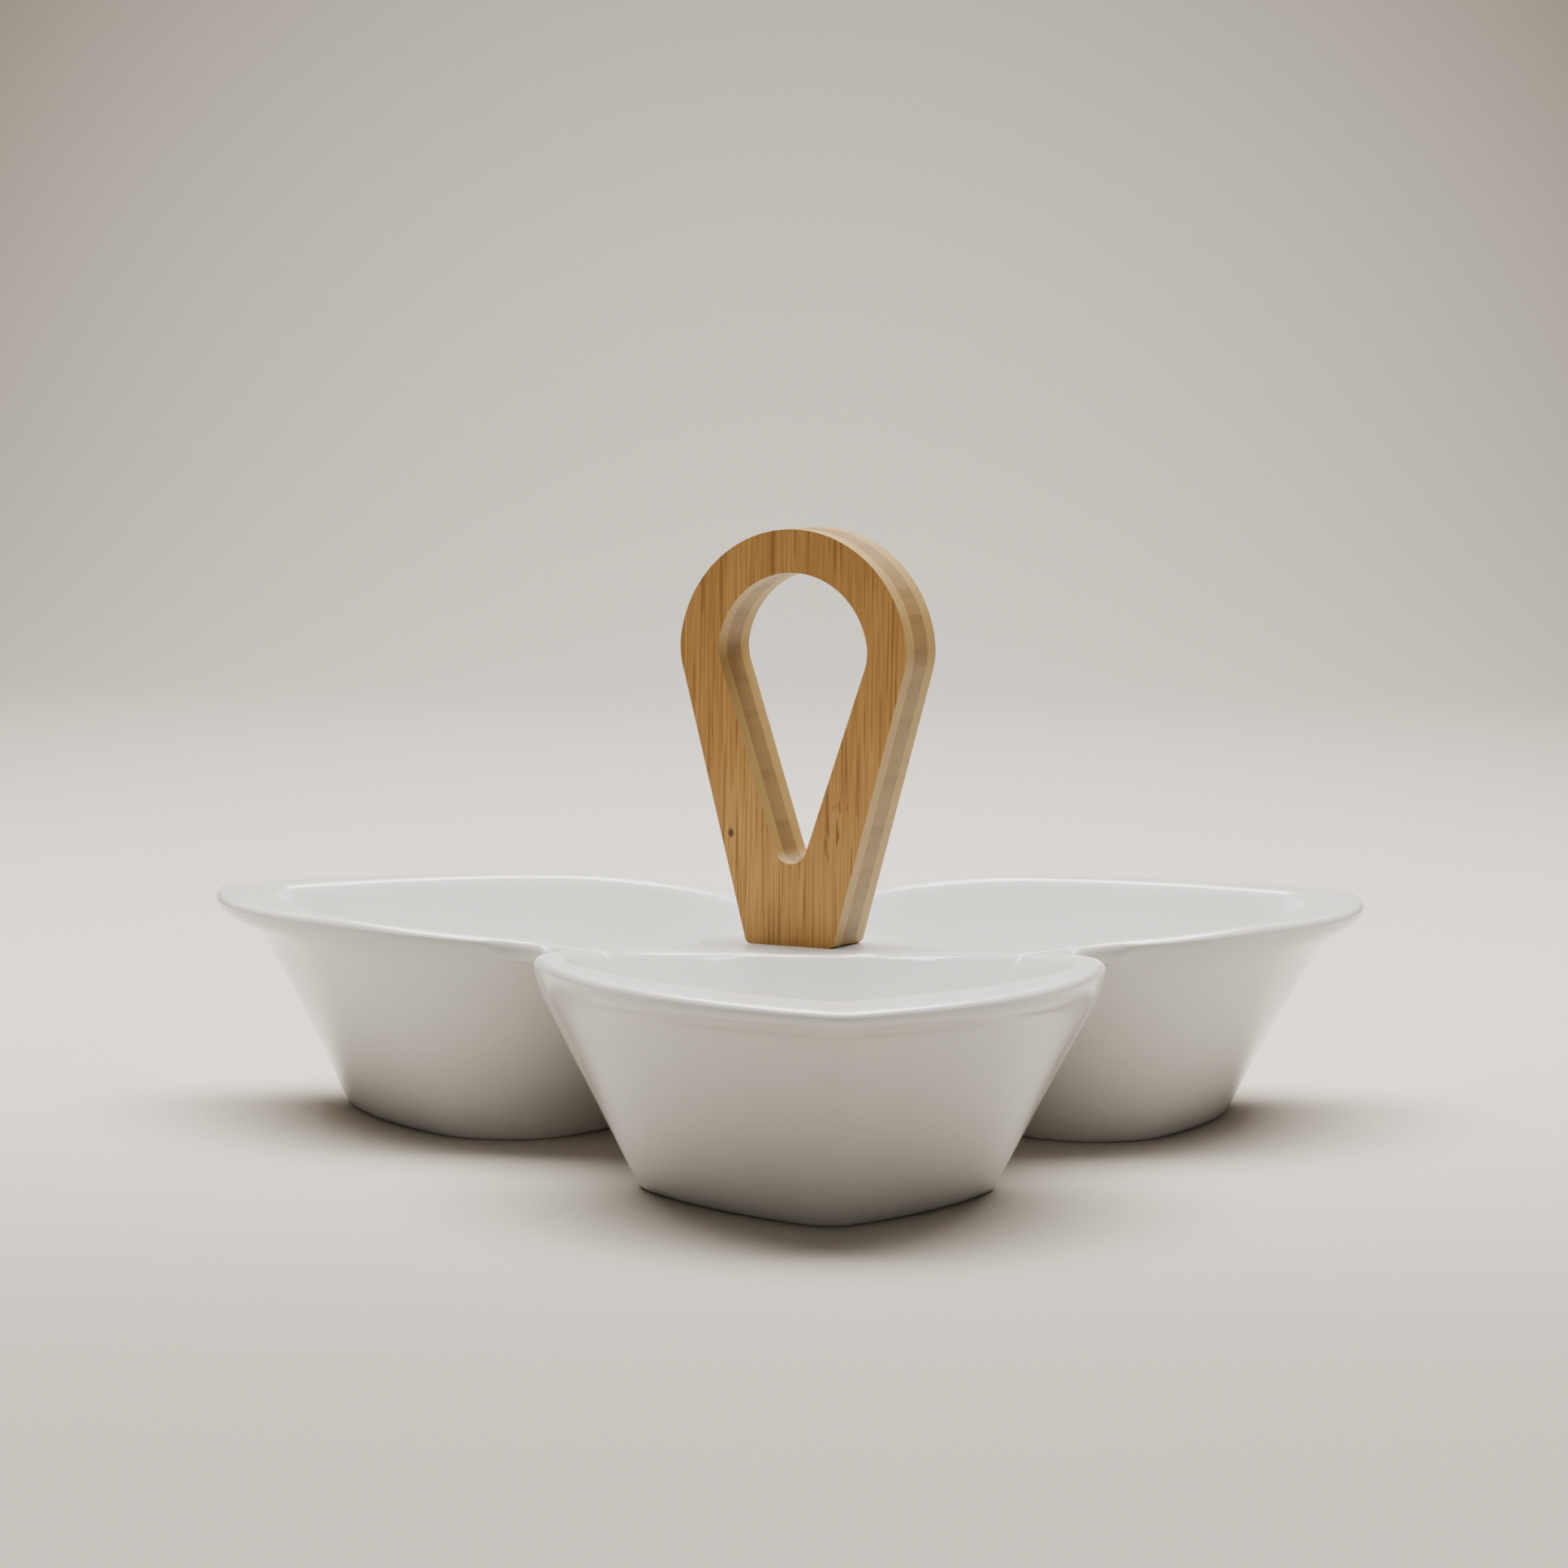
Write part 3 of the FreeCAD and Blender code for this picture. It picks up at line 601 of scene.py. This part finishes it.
def glazeMaterial(mottle):
    material, nodes, links, shader = newMaterial("glossyGlaze")
    vector = objectCoords(nodes).outputs["Object"]
    spots = placeGroup(nodes, links, mottle, vector, {"Scale": glazeLook["mottleScale"]})
    speckle = mapped(nodes, links, spots["Grain"], 0.35, 0.75)
    tint = mixOf(nodes, links, speckle, glazeLook["colour"], glazeLook["shade"])
    links.new(tint, shader.inputs["Base Color"])
    polish = mapped(nodes, links, spots["Cloud"], 0.3, 0.7, *glazeLook["roughness"])
    links.new(polish, shader.inputs["Roughness"])
    links.new(bumpOf(nodes, links, spots["Cloud"], glazeLook["ripple"]), shader.inputs["Normal"])
    shader.inputs["IOR"].default_value = glazeLook["ior"]
    shader.inputs["Coat Weight"].default_value = glazeLook["coat"]
    shader.inputs["Coat Roughness"].default_value = glazeLook["coatRoughness"]
    return material


def bambooMaterial(name, grain, core=False):
    material, nodes, links, shader = newMaterial(name)
    coords = objectCoords(nodes)
    vector = coords.outputs["Object"]
    fibres = placeGroup(nodes, links, grain, vector)
    look = bambooLook
    face = mixOf(nodes, links, fibres["Streak"], look["tan"], look["pale"])
    bands = mathOf(nodes, links, "MULTIPLY", fibres["Band"], look["bandShare"])
    face = mixOf(nodes, links, bands, face, look["tan"])
    darkLines = mathOf(nodes, links, "MULTIPLY", fibres["Line"], look["lineShare"])
    face = mixOf(nodes, links, darkLines, face, look["brown"])
    fleckShape = {"Stretch": look["fleckStretch"], "Streaks": look["fleckScale"]}
    dashes = placeGroup(nodes, links, grain, vector, fleckShape)
    patch = patchOf(nodes, links, vector, look["fleckAt"], look["fleckSize"])
    marks = mathOf(nodes, links, "MULTIPLY", dashes["Line"], patch)
    marks = mathOf(nodes, links, "MULTIPLY", marks, look["fleckShare"])
    face = mixOf(nodes, links, marks, face, look["brown"])
    knot = patchOf(nodes, links, vector, look["knotAt"], look["knotSize"])
    knot = mathOf(nodes, links, "MULTIPLY", knot, look["knotShare"])
    face = mixOf(nodes, links, knot, face, look["knot"])
    pale, tan = (look["corePale"], look["coreTan"]) if core else (look["edgePale"], look["edgeTan"])
    split = nodes.new("ShaderNodeSeparateXYZ")
    links.new(vector, split.inputs[0])
    strip = mathOf(nodes, links, "DIVIDE", split.outputs["Z"], look["stripHeight"])
    strip = mathOf(nodes, links, "FLOOR", strip)
    toss = nodes.new("ShaderNodeTexWhiteNoise")
    toss.noise_dimensions = "1D"
    links.new(strip, toss.inputs["W"])
    speck = mapped(nodes, links, fibres["Speckle"], 0.35, 0.7)
    speck = mathOf(nodes, links, "MULTIPLY", speck, look["speckleShare"])
    stripShare = look["coreStripShare"] if core else look["edgeStripShare"]
    shade = mathOf(nodes, links, "MULTIPLY_ADD", toss.outputs["Value"], stripShare, speck)
    edge = mixOf(nodes, links, shade, pale, tan)
    normal = nodes.new("ShaderNodeSeparateXYZ")
    links.new(coords.outputs["Normal"], normal.inputs[0])
    flat = mapped(nodes, links, mathOf(nodes, links, "ABSOLUTE", normal.outputs["Y"]), 0.6, 0.8)
    links.new(mixOf(nodes, links, flat, edge, face), shader.inputs["Base Color"])
    links.new(mapped(nodes, links, fibres["Streak"], 0.0, 1.0, 0.62, 0.48), shader.inputs["Roughness"])
    bump = bumpOf(nodes, links, fibres["Streak"], look["bump"], look["bumpDepth"])
    links.new(bump, shader.inputs["Normal"])
    shader.inputs["Specular IOR Level"].default_value = look["gloss"]
    return material


def plainMaterial(name, mottle, colour, shade, metal, roughness, scale):
    # brushed metal or rubber, with its tint and polish varied by the mottle
    material, nodes, links, shader = newMaterial(name)
    vector = objectCoords(nodes).outputs["Object"]
    spots = placeGroup(nodes, links, mottle, vector, {"Scale": scale})
    links.new(mixOf(nodes, links, spots["Cloud"], colour, shade), shader.inputs["Base Color"])
    links.new(mapped(nodes, links, spots["Grain"], 0.3, 0.7, *roughness), shader.inputs["Roughness"])
    links.new(bumpOf(nodes, links, spots["Grain"], 0.1, 0.00005), shader.inputs["Normal"])
    shader.inputs["Metallic"].default_value = metal
    return material


def dress(name, material):
    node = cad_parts[name]
    if not node.material_slots:
        node.data.materials.append(material)
    for slot in node.material_slots:
        slot.material = material


# stage, lights and camera

studio = {
    "azimuth": 27.4,
    "distance": 1.15,
    "height": 0.1753,
    "aside": -0.00439,
    "pitch": 5.125,
    "roll": -0.616,
    "lens": 132.03,
    "ambient": 0.12,
    # painted shade: how strongly the floor and backdrop darken to the sides and higher up, standing in for
    # the lamps' falloff
    "paintedFalloff": 3.4,
    # painted shade: how dark the floor gets towards the camera, in front of the dish
    "frontPaintedShade": 0.53,
    "frontSpan": (-0.15, 0.3),  # metres towards the camera over which painted shade darkens the floor
    "behindSpan": (-0.2, -0.9),
    "fadeAbove": 0.12,
    "fadeMost": 0.85,
    "floorRoughness": 0.65,
    "floorGloss": 0.25,
    "stageHalf": 3.0,
    "stageReach": 1.2,
    "stageBend": 0.8,
    "lampAim": 0.05,
    "floorColour": (0.545, 0.497, 0.432, 1),
    # the colour of the painted shade mixed into the floor and backdrop
    "paintedShadeColour": (0.135, 0.112, 0.085, 1),
    "lamps": [
        ("overhead", 112.0, (1.9, 1.1), (0.0, 0.40, 1.45), (1.0, 0.985, 0.955)),
        ("frontStrip", 0.3, (0.5, 0.9), (-0.25, -1.3, 1.3), (1.0, 0.99, 0.98)),
    ],
}


def makeCamera():
    data = bpy.data.cameras.new("camera")
    data.lens = studio["lens"]
    data.sensor_width = 36
    camera = bpy.data.objects.new("camera", data)
    turn = math.radians(studio["azimuth"])
    aside, back = studio["aside"], studio["distance"]
    camera.location = (
        aside * math.cos(turn) + back * math.sin(turn),
        aside * math.sin(turn) - back * math.cos(turn),
        studio["height"],
    )
    camera.rotation_euler = Euler((math.radians(90 - studio["pitch"]), 0, turn), "XYZ")
    camera.rotation_mode = "XYZ"
    roll = Euler((0, 0, math.radians(-studio["roll"]))).to_matrix().to_4x4()
    camera.matrix_world = camera.matrix_basis @ roll
    bpy.context.scene.collection.objects.link(camera)
    bpy.context.scene.camera = camera


def makeStage():
    # the floor and backdrop: a pale colour with painted shade mixed in by position, not cast by the lamps
    material, nodes, links, shader = newMaterial("floorWithPaintedShade")
    coords = objectCoords(nodes)
    turn = math.radians(studio["azimuth"])
    across = nodes.new("ShaderNodeVectorMath")
    across.operation = "DOT_PRODUCT"
    across.inputs[1].default_value = (math.cos(turn), math.sin(turn), 0)
    links.new(coords.outputs["Object"], across.inputs[0])
    split = nodes.new("ShaderNodeSeparateXYZ")
    links.new(coords.outputs["Object"], split.inputs[0])
    # painted shade: darker to the sides behind the dish and higher up the backdrop, standing in for the
    # lamps' falloff
    sideways = mathOf(nodes, links, "POWER", mathOf(nodes, links, "ABSOLUTE", across.outputs["Value"]), 2.0)
    above = mathOf(nodes, links, "SUBTRACT", split.outputs["Z"], studio["fadeAbove"])
    above = mathOf(nodes, links, "MAXIMUM", above, 0.0)
    depth = nodes.new("ShaderNodeVectorMath")
    depth.operation = "DOT_PRODUCT"
    depth.inputs[1].default_value = (math.sin(turn), -math.cos(turn), 0)
    links.new(coords.outputs["Object"], depth.inputs[0])
    behind = mapped(nodes, links, depth.outputs["Value"], *studio["behindSpan"])
    sideways = mathOf(nodes, links, "MULTIPLY", sideways, behind)
    spread = mathOf(nodes, links, "ADD", sideways, mathOf(nodes, links, "POWER", above, 2.0))
    # painted shade: the floor darker towards the camera, in front of the dish
    front = mapped(nodes, links, depth.outputs["Value"], *studio["frontSpan"], 0.0, studio["frontPaintedShade"])
    fade = mathOf(nodes, links, "MULTIPLY_ADD", spread, studio["paintedFalloff"], front)
    fade = mathOf(nodes, links, "MINIMUM", fade, studio["fadeMost"])
    colour = mixOf(nodes, links, fade, studio["floorColour"], studio["paintedShadeColour"])
    links.new(colour, shader.inputs["Base Color"])
    shader.inputs["Roughness"].default_value = studio["floorRoughness"]
    shader.inputs["Specular IOR Level"].default_value = studio["floorGloss"]
    half, reach, bend = studio["stageHalf"], studio["stageReach"], studio["stageBend"]
    curve = [(reach + bend * math.sin(a), bend - bend * math.cos(a)) for a in np.linspace(0, math.pi / 2, 24)]
    profile = [(-half, 0.0)] + curve + [(reach + bend, half)]
    points = []
    for side in (-half, half):
        for back, up in profile:
            x = side * math.cos(turn) - back * math.sin(turn)
            y = side * math.sin(turn) + back * math.cos(turn)
            points.append((x, y, up))
    count = len(profile)
    faces = [(k + 1, k, count + k, count + k + 1)[::-1] for k in range(count - 1)]
    floor = meshPiece("floor", points, faces, material)
    print("stage made")


def addLamp(name, energy, size, place, colour):
    data = bpy.data.lights.new(name, "AREA")
    data.energy = energy
    data.color = colour
    data.shape = "RECTANGLE"
    data.size, data.size_y = size
    lamp = bpy.data.objects.new(name, data)
    turn = math.radians(studio["azimuth"])
    aside, back, up = place
    spot = Vector((
        aside * math.cos(turn) - back * math.sin(turn),
        aside * math.sin(turn) + back * math.cos(turn),
        up,
    ))
    lamp.location = spot
    lamp.rotation_euler = (Vector((0, 0, studio["lampAim"])) - spot).to_track_quat("-Z", "Y").to_euler()
    bpy.context.scene.collection.objects.link(lamp)


def makeLights():
    world = bpy.data.worlds.new("studio")
    bpy.context.scene.world = world
    world.use_nodes = True
    background = world.node_tree.nodes["Background"]
    background.inputs["Color"].default_value = (1.0, 0.985, 0.965, 1)
    background.inputs["Strength"].default_value = studio["ambient"]
    for lamp in studio["lamps"]:
        addLamp(*lamp)
    print("lights made:", len(studio["lamps"]))


makeStage()
makeCamera()
makeLights()
mottle = makeMottleGroup()
grain = makeGrainGroup()
makeDish(glazeMaterial(mottle))
faceWood = bambooMaterial("bambooFace", grain)
coreWood = bambooMaterial("bambooCore", grain, core=True)
dress("handle_front_ply", faceWood)
dress("handle_rear_ply", faceWood)
dress("handle_core_ply", coreWood)
steel = plainMaterial("brushedSteel", mottle, **fasteningLook["steel"])
brass = plainMaterial("turnedBrass", mottle, **fasteningLook["brass"])
rubber = plainMaterial("greyRubber", mottle, **fasteningLook["rubber"])
dress("handle_insert", brass)
dress("handle_screw", steel)
dress("screw_washer", steel)
dress("cushion_washer", rubber)
print("handle and fastening dressed")
